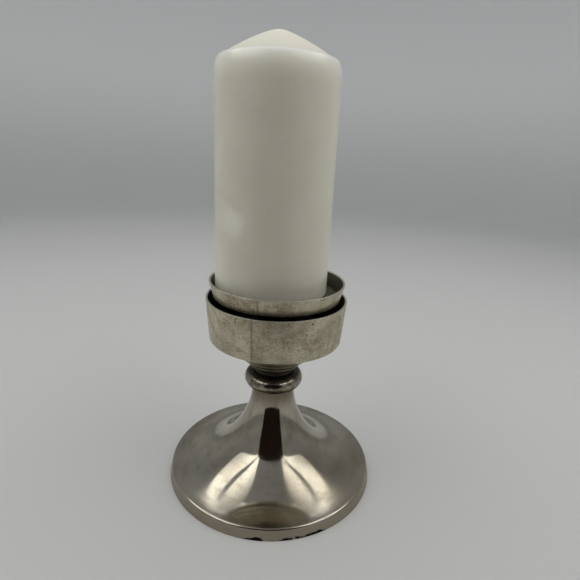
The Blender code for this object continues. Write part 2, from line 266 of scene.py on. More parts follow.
def rounded(profile, radius, closed=True):
    """A profile with its sharp corners eased over one radius, or less where a side is short."""
    result = []
    count = len(profile)
    for i, corner in enumerate(profile):
        if not closed and i in (0, count - 1):
            result.append(corner)
            continue
        here = Vector(corner)
        back = Vector(profile[i - 1]) - here
        ahead = Vector(profile[(i + 1) % count]) - here
        if back.angle(ahead) > math.radians(155):
            result.append(corner)
            continue
        reach = [min(radius, 0.4 * side.length) for side in (back, ahead)]
        start = here + back.normalized() * reach[0]
        end = here + ahead.normalized() * reach[1]
        result += eased_corner(tuple(start), corner, tuple(end))
    return result


def inside_of(profile, distance):
    """A line that runs at a distance inside a profile that falls on its outer side, with mitred corners."""
    line = np.array(profile)
    step = np.diff(line, axis=0)
    step /= np.linalg.norm(step, axis=1)[:, None]
    normal = np.stack([-step[:, 1], step[:, 0]], axis=1)
    across = np.vstack([normal[:1], normal]) + np.vstack([normal, normal[-1:]])
    share = 2 * distance / (across**2).sum(axis=1)
    return [tuple(p) for p in line - across * share[:, None]]


class Finish(Board):
    """A material: its Principled shader and the object's own coordinates."""

    def __init__(self, name, metallic=0.0, **constants):
        self.material = bpy.data.materials.new(name)
        self.material.use_nodes = True
        super().__init__(self.material.node_tree)
        self.shader = self.tree.nodes["Principled BSDF"]
        self.shader.inputs["Metallic"].default_value = metallic
        for key, value in constants.items():
            self.shader.inputs[key.replace("_", " ")].default_value = value
        self.place = self.add("ShaderNodeTexCoord", None, None, "Object")
        self.x, self.y, self.z = self.split(self.place)
        self.angle = self.x.maths("ARCTAN2", self.y, self.x)
        self.radius = (self.x * self.x + self.y * self.y) ** 0.5

    def surface(self, colour=None, roughness=None, height=None, bump=0.1):
        """Feeds the maps to the shader; height is in metres."""
        if colour is not None:
            self.plug(colour, self.shader.inputs["Base Color"])
        if roughness is not None:
            self.plug(roughness, self.shader.inputs["Roughness"])
        if height is not None:
            relief = self.add("ShaderNodeBump", None, {"Strength": bump, "Distance": 1.0, "Height": height})
            self.plug(relief, self.shader.inputs["Normal"])
        return self.material


def foot_plate():
    """Polished nickel, cloudy and scratched, dull brown on the rim band and chipped at its edge, with
    painted shade on the neck under the bead.
    """
    f = Finish("foot_plate", metallic=1.0)
    clouds = f.noise(f.place, 0.035).ramp(0.38, 0.68)
    smears = f.noise(f.join(f.angle * 0.05, f.radius * 2.0, f.z), 0.012).ramp(0.45, 0.75)
    pits = f.spots(f.place, 0.0060, 0.12, 0.07)
    band = f.z.ramp(FOOT_CORNER_HEIGHT - 0.0004, FOOT_CORNER_HEIGHT - 0.0016)
    colour = f.tint(clouds, (0.43, 0.40, 0.335, 1), (0.335, 0.30, 0.235, 1))
    colour = f.tint(smears * 0.55, colour, (0.25, 0.22, 0.165, 1))
    grain = f.noise(f.place, 0.0011, 4.0, 0.7)
    colour = f.tint(grain.ramp(0.52, 0.72) * 0.4, colour, (0.19, 0.165, 0.12, 1))
    colour = f.tint(band * 0.85, colour, (0.34, 0.295, 0.235, 1))
    colour = f.tint(pits * 0.8, colour, (0.10, 0.08, 0.06, 1))
    # Painted shade: the neck is painted darker towards the bead, standing for shade under its overhang.
    neck = f.z.ramp(NECK_TOP - 0.014, NECK_TOP - 0.001)
    colour = f.tint(neck * 0.85, colour, (0.17, 0.13, 0.09, 1))
    grime = f.noise(f.place, 0.0034, 5.0)
    left_chips = abs(f.angle - CHIPS_LEFT).ramp(0.13, 0.05)
    right_chips = abs(f.angle - CHIPS_RIGHT).ramp(0.36, 0.12)
    edge = f.z.ramp(0.0048, 0.0004)
    chips = (grime * edge * (0.42 + left_chips * 0.45 + right_chips * 0.38)).ramp(0.33, 0.39)
    colour = f.tint(chips, colour, (0.012, 0.010, 0.008, 1))
    worn = f.radius.ramp(0.044, 0.066)
    roughness = 0.065 + clouds * 0.045 + smears * 0.045 + worn * 0.08 + band * 0.16 + chips * 0.3
    scratch = f.noise(f.join(f.angle * 0.004, f.radius * 1.0, f.z), 0.0006, 2.0)
    height = scratch * 0.000003 + grain * 0.000005 - pits * 0.00003 - chips * 0.0001
    return f.surface(colour, roughness, height, 0.6)


corner = (FOOT_RADIUS - RIM_DRAFT, FOOT_CORNER_HEIGHT)
cove_end = corner[0] - FOOT_CORNER_ROUND
cove = []
for i in range(COVE_STEPS + 1):
    turn = math.pi / 2 * i / COVE_STEPS
    inwards = max(math.cos(turn), 0.0) ** (2 / COVE_POWER)
    downwards = math.sin(turn) ** (2 / COVE_POWER)
    fall = (NECK_TOP - corner[1]) * downwards
    cove.append((cove_end - (cove_end - NECK_RADIUS) * inwards, NECK_TOP - fall))
rim_edge = (FOOT_RADIUS - FOOT_DENT / 2, foot_low.z + FOOT_DENT / 2)
rim_lean = (Vector(rim_edge) - Vector(corner)).normalized() * FOOT_CORNER_ROUND
rim_start = (corner[0] + rim_lean.x, corner[1] + rim_lean.y)
foot_outside = cove[:-1] + eased_corner(cove[-1], corner, rim_start, 8) + [rim_edge]
foot_inside = inside_of(cove + [corner, rim_edge], FOOT_SHEET)[::-1]
foot_inside[0] = (foot_inside[0][0], rim_edge[1])
foot = lathe("foot", foot_outside + foot_inside, foot_plate(), steps=256, dent=FOOT_DENT, dent_size=0.02)
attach(foot, "pedestal")
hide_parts("foot_shell")

# Felt, filler and fastening in the foot: dark green felt glued under a cast filler that weights it.
# A steel rod runs up the stem; its washer and nut sit in a counterbore of the filler, out of sight.


def felt_cloth():
    """Pressed wool felt: matted fibres with paler lint."""
    f = Finish("felt_cloth", Roughness=1.0, Sheen_Weight=0.4)
    fibres = f.noise(f.place, 0.0012, 6.0, 0.7)
    lint = f.noise(f.place, 0.012).ramp(0.55, 0.8)
    colour = f.tint(fibres.ramp(0.3, 0.7), (0.012, 0.035, 0.018, 1), (0.035, 0.08, 0.045, 1))
    return f.surface(f.tint(lint * 0.3, colour, (0.12, 0.14, 0.11, 1)), None, fibres * 0.0003, 0.8)


def cast_filler():
    """Grey cement with sand grains and a few air holes."""
    f = Finish("cast_filler", Roughness=0.9)
    grain = f.noise(f.place, 0.0015, 5.0)
    holes = f.spots(f.place, 0.006, 0.4, 0.2)
    colour = f.tint(grain.ramp(0.3, 0.7), (0.33, 0.31, 0.28, 1), (0.47, 0.45, 0.42, 1))
    colour = f.tint(holes, colour, (0.12, 0.11, 0.10, 1))
    return f.surface(colour, None, grain * 0.0003 - holes * 0.0008, 0.7)


def plain_steel():
    """Zinc-plated steel, turned, with a little brown rust."""
    f = Finish("plain_steel", metallic=1.0)
    rings = f.noise(f.join(f.radius, f.z, 0.0), 0.0007, 2.0)
    rust = f.noise(f.place, 0.006).ramp(0.58, 0.72)
    colour = f.tint(rings, (0.42, 0.42, 0.42, 1), (0.56, 0.56, 0.57, 1))
    colour = f.tint(rust * 0.7, colour, (0.22, 0.11, 0.06, 1))
    return f.surface(colour, 0.32 + rust * 0.4, rings * 0.00002, 0.5)


felt_low, felt_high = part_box("felt_pad")
FELT_EDGE = 0.0004
felt_line = rounded([(felt_high.x, felt_high.z), (felt_high.x, felt_low.z)], FELT_EDGE, closed=False)
felt_line = [(0.0, felt_high.z)] + felt_line + [(0.0, felt_low.z)]
felt = lathe("felt", felt_line, felt_cloth(), steps=128)
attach(felt, "pedestal")
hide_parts("felt_pad")
steel = plain_steel()
hidden = {"foot_weight": cast_filler(), "rod_washer": steel, "rod_nut": steel, "jam_nut": steel}
for node, finish in hidden.items():
    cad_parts[node].data.materials.clear()
    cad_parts[node].data.materials.append(finish)

rod_low, rod_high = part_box("tie_rod")
THREAD_PITCH = 0.00125
THREAD_DEPTH = 0.0004
rod_line = [(0.0, rod_high.z), (rod_high.x - THREAD_DEPTH, rod_high.z)]
for i in range(int((rod_high.z - rod_low.z) / THREAD_PITCH)):
    crest = rod_high.z - (i + 0.5) * THREAD_PITCH
    rod_line += [(rod_high.x, crest), (rod_high.x - THREAD_DEPTH, crest - THREAD_PITCH / 2)]
rod = lathe("rod", rod_line + [(rod_high.x - THREAD_DEPTH, rod_low.z), (0.0, rod_low.z)], steel, steps=48)
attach(rod, "pedestal")
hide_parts("tie_rod")

# Bead: a turned ring soldered on top of the neck, with the same worn plate as the foot.
# Painted shade darkens the grooves above and below it.
bead_low, bead_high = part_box("knop_ring")
BEAD_OVERHANG = bead_high.x - NECK_RADIUS
BEAD_GAP = 0.0003
BEAD_BOTTOM = NECK_TOP + BEAD_GAP
bead_middle = (BEAD_BOTTOM + bead_high.z) / 2
bead_half = (bead_high.z - BEAD_BOTTOM) / 2
BEAD_STEPS = 40
SPIGOT_RADIUS = 0.0125
JAM_RECESS_RADIUS = 0.0079
JAM_RECESS_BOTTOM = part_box("jam_nut")[0].z - BEAD_GAP
ROD_BORE = 0.0043


def bead_plate():
    """The foot's plate, with painted shade in the grooves."""
    f = Finish("bead_plate", metallic=1.0)
    clouds = f.noise(f.place, 0.012).ramp(0.35, 0.7)
    speck = f.noise(f.place, 0.0012, 4.0)
    groove = abs(f.z - bead_middle).ramp(0.55 * bead_half, 0.92 * bead_half)
    oxide = f.noise(f.place, 0.005, 4.0, 0.65).ramp(0.46, 0.60)
    colour = f.tint(clouds, (0.40, 0.365, 0.295, 1), (0.29, 0.255, 0.195, 1))
    colour = f.tint(oxide * 0.75, colour, (0.10, 0.085, 0.06, 1))
    colour = f.tint(speck.ramp(0.55, 0.68) * 0.7, colour, (0.07, 0.058, 0.04, 1))
    # Painted shade: the top and bottom of the bead are painted near black, standing for shade in the
    # grooves.
    colour = f.tint(groove * 0.9, colour, (0.045, 0.037, 0.028, 1))
    return f.surface(colour, 0.11 + clouds * 0.06 + oxide * 0.1 + groove * 0.3, speck * 0.00003, 0.6)


bead_line = []
for i in range(BEAD_STEPS + 1):
    turn = math.pi * (0.5 - i / BEAD_STEPS)
    reach = BEAD_OVERHANG * math.cos(turn)
    bead_line.append((NECK_RADIUS + reach, bead_middle + bead_half * math.sin(turn)))
bead_line += [
    (SPIGOT_RADIUS, BEAD_BOTTOM),
    (SPIGOT_RADIUS, bead_low.z),
    (ROD_BORE, bead_low.z),
    (ROD_BORE, JAM_RECESS_BOTTOM),
    (JAM_RECESS_RADIUS, JAM_RECESS_BOTTOM),
    (JAM_RECESS_RADIUS, bead_high.z),
]
bead = lathe("bead", bead_line, bead_plate(), steps=160, dent=0.00008, dent_size=0.012)
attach(bead, "pedestal")
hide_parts("knop_ring")

# Leather washer between the bead and the cup: punched from hide and nearly black with grease.
# The cup squeezes it as it is screwed down, and it shows only as a dark line.
washer_low, washer_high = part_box("cup_washer")
WASHER_BORE = 0.0095
WASHER_EDGE = 0.0002


def washer_leather():
    """Greasy leather with a cut edge."""
    f = Finish("washer_leather", Roughness=0.6)
    grain = f.noise(f.place, 0.0009, 4.0)
    colour = f.tint(grain.ramp(0.3, 0.7), (0.012, 0.010, 0.008, 1), (0.05, 0.035, 0.025, 1))
    return f.surface(colour, None, grain * 0.0002, 0.8)


washer_line = rounded(
    [
        (washer_high.x, washer_high.z),
        (washer_high.x, washer_low.z),
        (WASHER_BORE, washer_low.z),
        (WASHER_BORE, washer_high.z),
    ],
    WASHER_EDGE,
)
washer = lathe("leather_washer", washer_line, washer_leather(), steps=96)
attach(washer, "washer")
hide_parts("cup_washer")

# Cup: a spun cone with a strip of sheet rolled into a drum and soldered round its flange.
# Satin nickel plate, tarnished in pink and olive blotches and speckled with pits; the drum has one seam.
funnel_low, funnel_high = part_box("cup_funnel")
band_low, band_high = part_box("cup_band")
BAND_TOP_RADIUS = band_high.x
BAND_BOTTOM_RADIUS = 0.0428
BAND_SHEET = 0.0013
FUNNEL_SHEET = 0.0012
FUNNEL_FLANGE_START = 0.0011
FUNNEL_THROAT = 0.0140
FUNNEL_POWER = 1.27
FUNNEL_STEPS = 30
FUNNEL_HOLE = 0.0098
FUNNEL_RING_PITCH = 0.0050
SOLDER_GAP = 0.0003
CUP_SEAM_ANGLE = math.radians(-90 - 17.5)
SEAM_WIDTH = 0.00022
SHEET_EDGE = 0.0003
FUNNEL_EDGE = 0.0004
WRAP_RADIUS = 0.043
HOLE_EDGE = 0.0007
HOLE_CORE = 0.0004
BAND_PIT = (math.radians(-62), band_high.z - 0.0026)


def cup_plate(name, seam_angle, foot_radius, rim_radius, low, high, hole=None):
    """Satin plate of a flared strip: blotches, pits, a stain beside its seam, and a dark inside."""
    f = Finish(name)
    wrap = f.join(f.angle * WRAP_RADIUS, f.radius, f.z)
    blotch = f.noise(f.place, 0.014, 4.0, 0.6).ramp(0.40, 0.62)
    streak = f.noise(f.join(f.angle * WRAP_RADIUS, 0.0, f.z * 0.2), 0.005, 3.0).ramp(0.45, 0.70)
    olive = f.noise(f.place, 0.009, 3.0).ramp(0.48, 0.66)
    worn = f.noise(f.place, 0.018, 2.0).ramp(0.35, 0.65)
    speck = f.noise(wrap, 0.0012, 3.0, 0.65)
    pits = f.spots(f.place, 0.0042, 0.22, 0.13)
    brown = f.noise(f.place, 0.007, 4.0, 0.6).ramp(0.52, 0.66)
    smear = f.noise(f.join(f.angle * 0.02, f.radius, f.z), 0.006, 4.0, 0.65).ramp(0.54, 0.66)
    colour = f.tint(blotch, (0.60, 0.55, 0.415, 1), (0.46, 0.40, 0.285, 1))
    colour = f.tint(olive * 0.6, colour, (0.44, 0.44, 0.30, 1))
    colour = f.tint(brown * 0.5, colour, (0.37, 0.285, 0.20, 1))
    colour = f.tint(smear * 0.5, colour, (0.72, 0.68, 0.56, 1))
    colour = f.tint(streak * 0.25, colour, (0.33, 0.28, 0.21, 1))
    colour = f.tint(speck.ramp(0.52, 0.62) * (0.25 + worn * 0.5), colour, (0.20, 0.155, 0.10, 1))
    colour = f.tint(speck.ramp(0.40, 0.30) * 0.6, colour, (0.72, 0.67, 0.54, 1))
    colour = f.tint(pits * 0.75, colour, (0.06, 0.045, 0.03, 1))
    seam = abs(f.angle - seam_angle).ramp(0.030, 0.0) * (1.15 - f.noise(wrap, 0.006))
    colour = f.tint(seam * 0.8, colour, (0.19, 0.15, 0.11, 1))
    if hole:
        across, up = (f.angle - hole[0]) * rim_radius, f.z - hole[1]
        spot = (across * across + up * up).ramp(HOLE_EDGE**2, HOLE_CORE**2)
        colour = f.tint(spot, colour, (0.02, 0.015, 0.01, 1))
    lip = f.z.ramp(high - 0.0009, high - 0.0003) + f.z.ramp(low + 0.0007, low + 0.0002)
    colour = f.tint(lip * 0.6, colour, (0.46, 0.45, 0.41, 1))
    lean = (rim_radius - foot_radius) / (high - low)
    depth = foot_radius + (f.z - low) * lean - f.radius
    # The inner face is painted dark and made less metallic.
    inside = depth.ramp(0.0004, 0.0007) * (1 - lip)
    colour = f.tint(inside, colour, (0.10, 0.095, 0.065, 1))
    f.plug(0.86 - blotch * 0.25 - inside * 0.2, f.shader.inputs["Metallic"])
    roughness = 0.30 + blotch * 0.10 + speck * 0.12 - lip * 0.05
    return f.surface(colour, roughness, speck * 0.00006 - pits * 0.00010, 0.6)


band_line = rounded(
    [
        (BAND_TOP_RADIUS, band_high.z),
        (BAND_BOTTOM_RADIUS, band_low.z),
        (BAND_BOTTOM_RADIUS - BAND_SHEET, band_low.z),
        (BAND_TOP_RADIUS - BAND_SHEET, band_high.z),
    ],
    SHEET_EDGE,
)
seam_share = SEAM_WIDTH / BAND_BOTTOM_RADIUS
band_finish = cup_plate(
    "band_plate", CUP_SEAM_ANGLE, BAND_BOTTOM_RADIUS, BAND_TOP_RADIUS, band_low.z, band_high.z, BAND_PIT
)
band = lathe(
    "cup_drum",
    band_line,
    band_finish,
    steps=256,
    start=CUP_SEAM_ANGLE + seam_share / 2,
    sweep=math.tau - seam_share,
    dent=0.0002,
    dent_size=0.025,
    seed=3.0,
)
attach(band, "cup")
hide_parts("cup_band")


def old_solder():
    """Grey solder, dull and lumpy."""
    f = Finish("old_solder", metallic=1.0)
    lumps = f.noise(f.place, 0.0015, 4.0)
    colour = f.tint(lumps.ramp(0.35, 0.65), (0.20, 0.165, 0.12, 1), (0.40, 0.36, 0.28, 1))
    return f.surface(colour, 0.45 + lumps * 0.2, lumps * 0.0002, 0.6)


SOLDER_SINK = 0.00006
solder = old_solder()
seam_line = [
    (BAND_TOP_RADIUS - SOLDER_SINK, band_high.z - SOLDER_SINK),
    (BAND_BOTTOM_RADIUS - SOLDER_SINK, band_low.z + SOLDER_SINK),
    (BAND_BOTTOM_RADIUS - BAND_SHEET + SOLDER_SINK, band_low.z + SOLDER_SINK),
    (BAND_TOP_RADIUS - BAND_SHEET + SOLDER_SINK, band_high.z - SOLDER_SINK),
]
cup_seam = lathe("cup_seam", seam_line, solder, 4, CUP_SEAM_ANGLE - seam_share / 2, seam_share)
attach(cup_seam, "cup")

band_lean = (BAND_TOP_RADIUS - BAND_BOTTOM_RADIUS) / (band_high.z - band_low.z)
flange_start = band_low.z + FUNNEL_FLANGE_START
flange_radius = BAND_BOTTOM_RADIUS - BAND_SHEET - SOLDER_GAP
bell_height = flange_start - funnel_low.z
bell_flare = flange_radius + band_lean * FUNNEL_FLANGE_START - FUNNEL_THROAT
funnel_outside = [(flange_radius + band_lean * (funnel_high.z - band_low.z), funnel_high.z)]
for i in range(FUNNEL_STEPS + 1):
    share = 1 - i / FUNNEL_STEPS
    flare = bell_flare * share**FUNNEL_POWER
    funnel_outside.append((FUNNEL_THROAT + flare, funnel_low.z + bell_height * share))
funnel_outside.append((FUNNEL_HOLE, funnel_low.z))
funnel_line = rounded(funnel_outside + inside_of(funnel_outside, FUNNEL_SHEET)[::-1], FUNNEL_EDGE)


def funnel_plate():
    """The cup's plate, darker overall, with turning marks in its relief, dark rings painted as reflections,
    painted shade towards the throat, and black inside.
    """
    f = Finish("funnel_plate", metallic=1.0)
    wave = f.z * (math.tau / FUNNEL_RING_PITCH) + f.noise(f.place, 0.010) * 2.5
    rings = wave.maths("SINE", wave) * 0.5 + 0.5
    blotch = f.noise(f.place, 0.012).ramp(0.4, 0.66)
    colour = f.tint(blotch, (0.86, 0.80, 0.64, 1), (0.66, 0.59, 0.45, 1))
    # Painted reflection: dark rings in the colour stand for reflected streaks; the same rings give real
    # turning marks in the relief.
    colour = f.tint(rings.ramp(0.58, 0.82) * 0.92, colour, (0.06, 0.048, 0.03, 1))
    # Painted shade: the funnel is painted darker towards its throat, standing for shade behind the bead.
    throat = f.z.ramp(funnel_low.z + 0.0065, funnel_low.z + 0.0025)
    colour = f.tint(throat * 0.5, colour, (0.05, 0.04, 0.025, 1))
    rise = (f.z - funnel_low.z) / bell_height
    share = rise.maths("MAXIMUM", rise, 0.0)
    inside = (FUNNEL_THROAT + bell_flare * share**FUNNEL_POWER - f.radius).ramp(0.0006, 0.0010)
    # The inner face of the cone is painted black.
    blackened = inside * f.z.ramp(funnel_low.z + 0.0006, funnel_low.z + 0.001)
    colour = f.tint(blackened, colour, (0.02, 0.018, 0.013, 1))
    return f.surface(colour, 0.32 + blotch * 0.1 + inside * 0.3, rings * -0.00010, 0.8)


funnel = lathe("cup_cone", funnel_line, funnel_plate(), steps=192, dent=0.0001, dent_size=0.02, seed=5.0)
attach(funnel, "cup")
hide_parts("cup_funnel")

# Socket in the cup's throat and the pan's peg that drops into it: both turned from brass bar.
# The socket screws on the rod; the peg's shoulder rests on the socket's rim.
socket_low, socket_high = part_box("cup_socket")
peg_low, peg_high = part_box("pan_peg")
SOCKET_BOSS = 0.0095
SOCKET_STEP = 0.0015
SOCKET_SHOULDER = socket_low.z + SOCKET_STEP
PEG_RADIUS = 0.0110
PEG_BORE = 0.0090
PEG_CAP = 0.0020
SOCKET_BORE = 0.0113
ROD_HEADROOM = 0.0020
SOCKET_BORE_BOTTOM = rod_high.z + ROD_HEADROOM
SOCKET_EDGE = 0.0003
PEG_EDGE = 0.0004


def turned_brass():
    """Brass with turning marks, gone brown."""
    f = Finish("turned_brass", metallic=1.0)
    rings = f.noise(f.join(f.radius, f.z, 0.0), 0.0006, 2.0)
    brown = f.noise(f.place, 0.008).ramp(0.4, 0.7)
    colour = f.tint(brown, (0.30, 0.20, 0.085, 1), (0.10, 0.065, 0.03, 1))
    return f.surface(colour, 0.28 + brown * 0.2, rings * 0.00003, 0.6)


brass = turned_brass()
socket_line = rounded(
    [
        (socket_high.x, socket_high.z),
        (socket_high.x, SOCKET_SHOULDER),
        (SOCKET_BOSS, SOCKET_SHOULDER),
        (SOCKET_BOSS, socket_low.z),
        (ROD_BORE, socket_low.z),
        (ROD_BORE, SOCKET_BORE_BOTTOM),
        (SOCKET_BORE, SOCKET_BORE_BOTTOM),
        (SOCKET_BORE, socket_high.z),
    ],
    SOCKET_EDGE,
)
socket = lathe("peg_socket", socket_line, brass, steps=96)
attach(socket, "cup")
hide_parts("cup_socket")
peg_outside = [
    (peg_high.x, peg_high.z),
    (peg_high.x, socket_high.z + SOLDER_GAP),
    (PEG_RADIUS, socket_high.z + SOLDER_GAP),
    (PEG_RADIUS, peg_low.z),
    (PEG_BORE, peg_low.z),
    (PEG_BORE, peg_high.z - PEG_CAP),
]
peg_line = rounded(peg_outside, PEG_EDGE, closed=False)
peg_line = [(0.0, peg_high.z)] + peg_line + [(0.0, peg_high.z - PEG_CAP)]
peg = lathe("pan_spigot", peg_line, brass, steps=96)
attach(peg, "drip_pan")
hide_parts("pan_peg")

# Drip pan: a strip of sheet rolled into a flared ring, with one upright seam, soldered round a flat floor.
# Plated like the cup outside; inside it is dark olive, with old wax along the front of the rim.
pan_low, pan_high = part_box("pan_wall")
floor_low, floor_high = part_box("pan_floor")
PAN_RIM_RADIUS = pan_high.x
PAN_FLARE = 0.0027
PAN_SHEET = 0.0012
PAN_SEAM_ANGLE = math.radians(-90 - 14.4)
pan_foot = PAN_RIM_RADIUS - PAN_FLARE
pan_line = rounded(
    [
        (PAN_RIM_RADIUS, pan_high.z),
        (pan_foot, pan_low.z),
        (pan_foot - PAN_SHEET, pan_low.z),
        (PAN_RIM_RADIUS - PAN_SHEET, pan_high.z),
    ],
    SHEET_EDGE,
)
pan_seam_share = SEAM_WIDTH / PAN_RIM_RADIUS
pan = lathe(
    "pan_ring",
    pan_line,
    cup_plate("pan_plate", PAN_SEAM_ANGLE, pan_foot, PAN_RIM_RADIUS, pan_low.z, pan_high.z),
    steps=256,
    start=PAN_SEAM_ANGLE + pan_seam_share / 2,
    sweep=math.tau - pan_seam_share,
    dent=0.00025,
    dent_size=0.02,
    seed=8.0,
)
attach(pan, "drip_pan")
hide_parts("pan_wall")
pan_seam_line = [
    (PAN_RIM_RADIUS - SOLDER_SINK, pan_high.z - SOLDER_SINK),
    (pan_foot - SOLDER_SINK, pan_low.z + SOLDER_SINK),
    (pan_foot - PAN_SHEET + SOLDER_SINK, pan_low.z + SOLDER_SINK),
    (PAN_RIM_RADIUS - PAN_SHEET + SOLDER_SINK, pan_high.z - SOLDER_SINK),
]
pan_seam = lathe("pan_seam", pan_seam_line, solder, 4, PAN_SEAM_ANGLE - pan_seam_share / 2, pan_seam_share)
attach(pan_seam, "drip_pan")


def pan_floor_plate():
    """Bare dark plate with wax rings and brown stains."""
    f = Finish("pan_floor_plate", metallic=1.0)
    stains = f.noise(f.place, 0.010, 4.0).ramp(0.4, 0.65)
    speck = f.noise(f.place, 0.0012, 4.0)
    colour = f.tint(stains, (0.17, 0.155, 0.10, 1), (0.085, 0.075, 0.045, 1))
    colour = f.tint(speck.ramp(0.6, 0.75) * 0.6, colour, (0.10, 0.08, 0.05, 1))
    return f.surface(colour, 0.38 + stains * 0.2, speck * 0.00005, 0.6)


floor_line = [(floor_high.x, floor_high.z), (floor_high.x, floor_low.z)]
floor_line = [(0.0, floor_high.z)] + rounded(floor_line, SHEET_EDGE, closed=False) + [(0.0, floor_low.z)]
pan_floor = lathe("pan_disc", floor_line, pan_floor_plate(), steps=160)
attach(pan_floor, "drip_pan")
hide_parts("pan_floor")


def crumb_tree():
    """Geometry nodes that scatter small grains along the object's own line of points."""
    tree = bpy.data.node_groups.new("crumbs", "GeometryNodeTree")
    names = {}
    for name, kind in (
        ("Path", "NodeSocketGeometry"),
        ("Grain size", "NodeSocketFloat"),
        ("Scatter", "NodeSocketFloat"),
        ("Share", "NodeSocketFloat"),
        ("Seed", "NodeSocketInt"),
        ("Finish", "NodeSocketMaterial"),
    ):
        names[name] = tree.interface.new_socket(name, in_out="INPUT", socket_type=kind).identifier
    tree.interface.new_socket("Crumbs", in_out="OUTPUT", socket_type="NodeSocketGeometry")
    board = Board(tree)
    given = {s.name: Wire(board, s) for s in tree.nodes.new("NodeGroupInput").outputs if s.name}
    vector, one, chance = ({"data_type": kind} for kind in ("FLOAT_VECTOR", "FLOAT", "BOOLEAN"))
    ends = {0: (-1, -1, -0.4), 1: (1, 1, 0.4), 8: given["Seed"]}
    shift = board.add("FunctionNodeRandomValue", vector, ends)
    shift = board.add("ShaderNodeVectorMath", {"operation": "SCALE"}, {0: shift, "Scale": given["Scatter"]})
    spread = board.add("GeometryNodeSetPosition", None, {"Geometry": given["Path"], "Offset": shift})
    kept = board.add("FunctionNodeRandomValue", chance, {6: given["Share"], 8: given["Seed"] + 1}, 3)
    scale = board.add("FunctionNodeRandomValue", one, {2: 0.4, 3: 1.3, 8: given["Seed"] + 2}, 1)
    turn = board.add("FunctionNodeRandomValue", vector, {0: (0, 0, 0), 1: (6, 6, 6), 8: given["Seed"] + 3})
    grain = board.add("GeometryNodeMeshIcoSphere", None, {"Radius": given["Grain size"], "Subdivisions": 1})
    laid = board.add(
        "GeometryNodeInstanceOnPoints",
        None,
        {"Points": spread, "Selection": kept, "Instance": grain, "Rotation": turn, "Scale": scale},
    )
    plain = board.add("GeometryNodeRealizeInstances", None, {"Geometry": laid})
    dressed = board.add("GeometryNodeSetMaterial", None, {"Geometry": plain, "Material": given["Finish"]})
    board.plug(dressed, tree.nodes.new("NodeGroupOutput").inputs[0])
    return tree, names


def crumb_wax():
    """Old wax, some grains dark with soot."""
    f = Finish("crumb_wax", Roughness=0.5)
    blackened = f.noise(f.place, 0.004).ramp(0.46, 0.52)
    return f.surface(f.tint(blackened, (0.72, 0.70, 0.58, 1), (0.05, 0.042, 0.03, 1)))


CRUMB_POINTS = 150
CRUMB_START = math.radians(-145)
CRUMB_SWEEP = math.radians(100)
CRUMB_SINK = 0.0001
crumb_radius = PAN_RIM_RADIUS - PAN_SHEET / 2
crumb_path = []
for i in range(CRUMB_POINTS):
    turn = CRUMB_START + CRUMB_SWEEP * i / (CRUMB_POINTS - 1)
    east, north = crumb_radius * math.cos(turn), crumb_radius * math.sin(turn)
    crumb_path.append((east, north, pan_high.z - CRUMB_SINK))
crumbs = bpy.data.objects.new("wax_crumbs", bpy.data.meshes.new("wax_crumbs"))
crumbs.data.from_pydata(crumb_path, [], [])
bpy.context.scene.collection.objects.link(crumbs)
CRUMBS, CRUMB_INPUTS = crumb_tree()
scatter = crumbs.modifiers.new("crumbs", "NODES")
scatter.node_group = CRUMBS
for key, value in (
    ("Grain size", 0.00030),
    ("Scatter", 0.00025),
    ("Share", 0.4),
    ("Seed", 4),
    ("Finish", crumb_wax()),
):
    scatter[CRUMB_INPUTS[key]] = value
crumb_mesh = bpy.data.meshes.new_from_object(crumbs.evaluated_get(bpy.context.evaluated_depsgraph_get()))
crumbs.modifiers.clear()
crumbs.data = crumb_mesh
crumb_mesh.name = "wax_crumbs"
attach(crumbs, "drip_pan")

# Candle: a pressed white pillar with a domed top, standing against the left side of the pan.
# The wax is smooth and slightly translucent, with a glossy ridge at the shoulder; the wick is cut flush.
wax_low, wax_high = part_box("wax_pillar")
wick_low, wick_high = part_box("wick")
candle_x = (wax_low.x + wax_high.x) / 2
candle_y = (wax_low.y + wax_high.y) / 2
CANDLE_RADIUS = (wax_high.x - wax_low.x) / 2
CANDLE_SHOULDER_HEIGHT = 0.1332
CANDLE_SHOULDER = wax_low.z + CANDLE_SHOULDER_HEIGHT
CANDLE_SHOULDER_INSET = 0.0032
CANDLE_SHOULDER_DROP = 0.0110
CANDLE_DOME_POWER = 1.34
CANDLE_FOOT_ROUND = 0.0035
RIDGE_WIDTH = 0.0008
RIDGE_GROOVE = 0.0004
RIDGE_STEPS = 8
RIDGE_FALL = 0.0006
shoulder = CANDLE_RADIUS - CANDLE_SHOULDER_INSET
side_top = (CANDLE_RADIUS, CANDLE_SHOULDER - CANDLE_SHOULDER_DROP)
WICK_BORE = 0.0016
WAX_DENT = 0.0002
DOME_STEPS = 24
DENT_ANGLE = math.radians(-133)
DENT_HEIGHT = 0.1840
DENT_SLOPE = math.radians(-25.5)
DENT_DEPTH = 0.0015
DENT_LENGTH = 0.0162
DENT_UPPER_EDGE = 0.0045
DENT_LOWER_EDGE = -0.0170


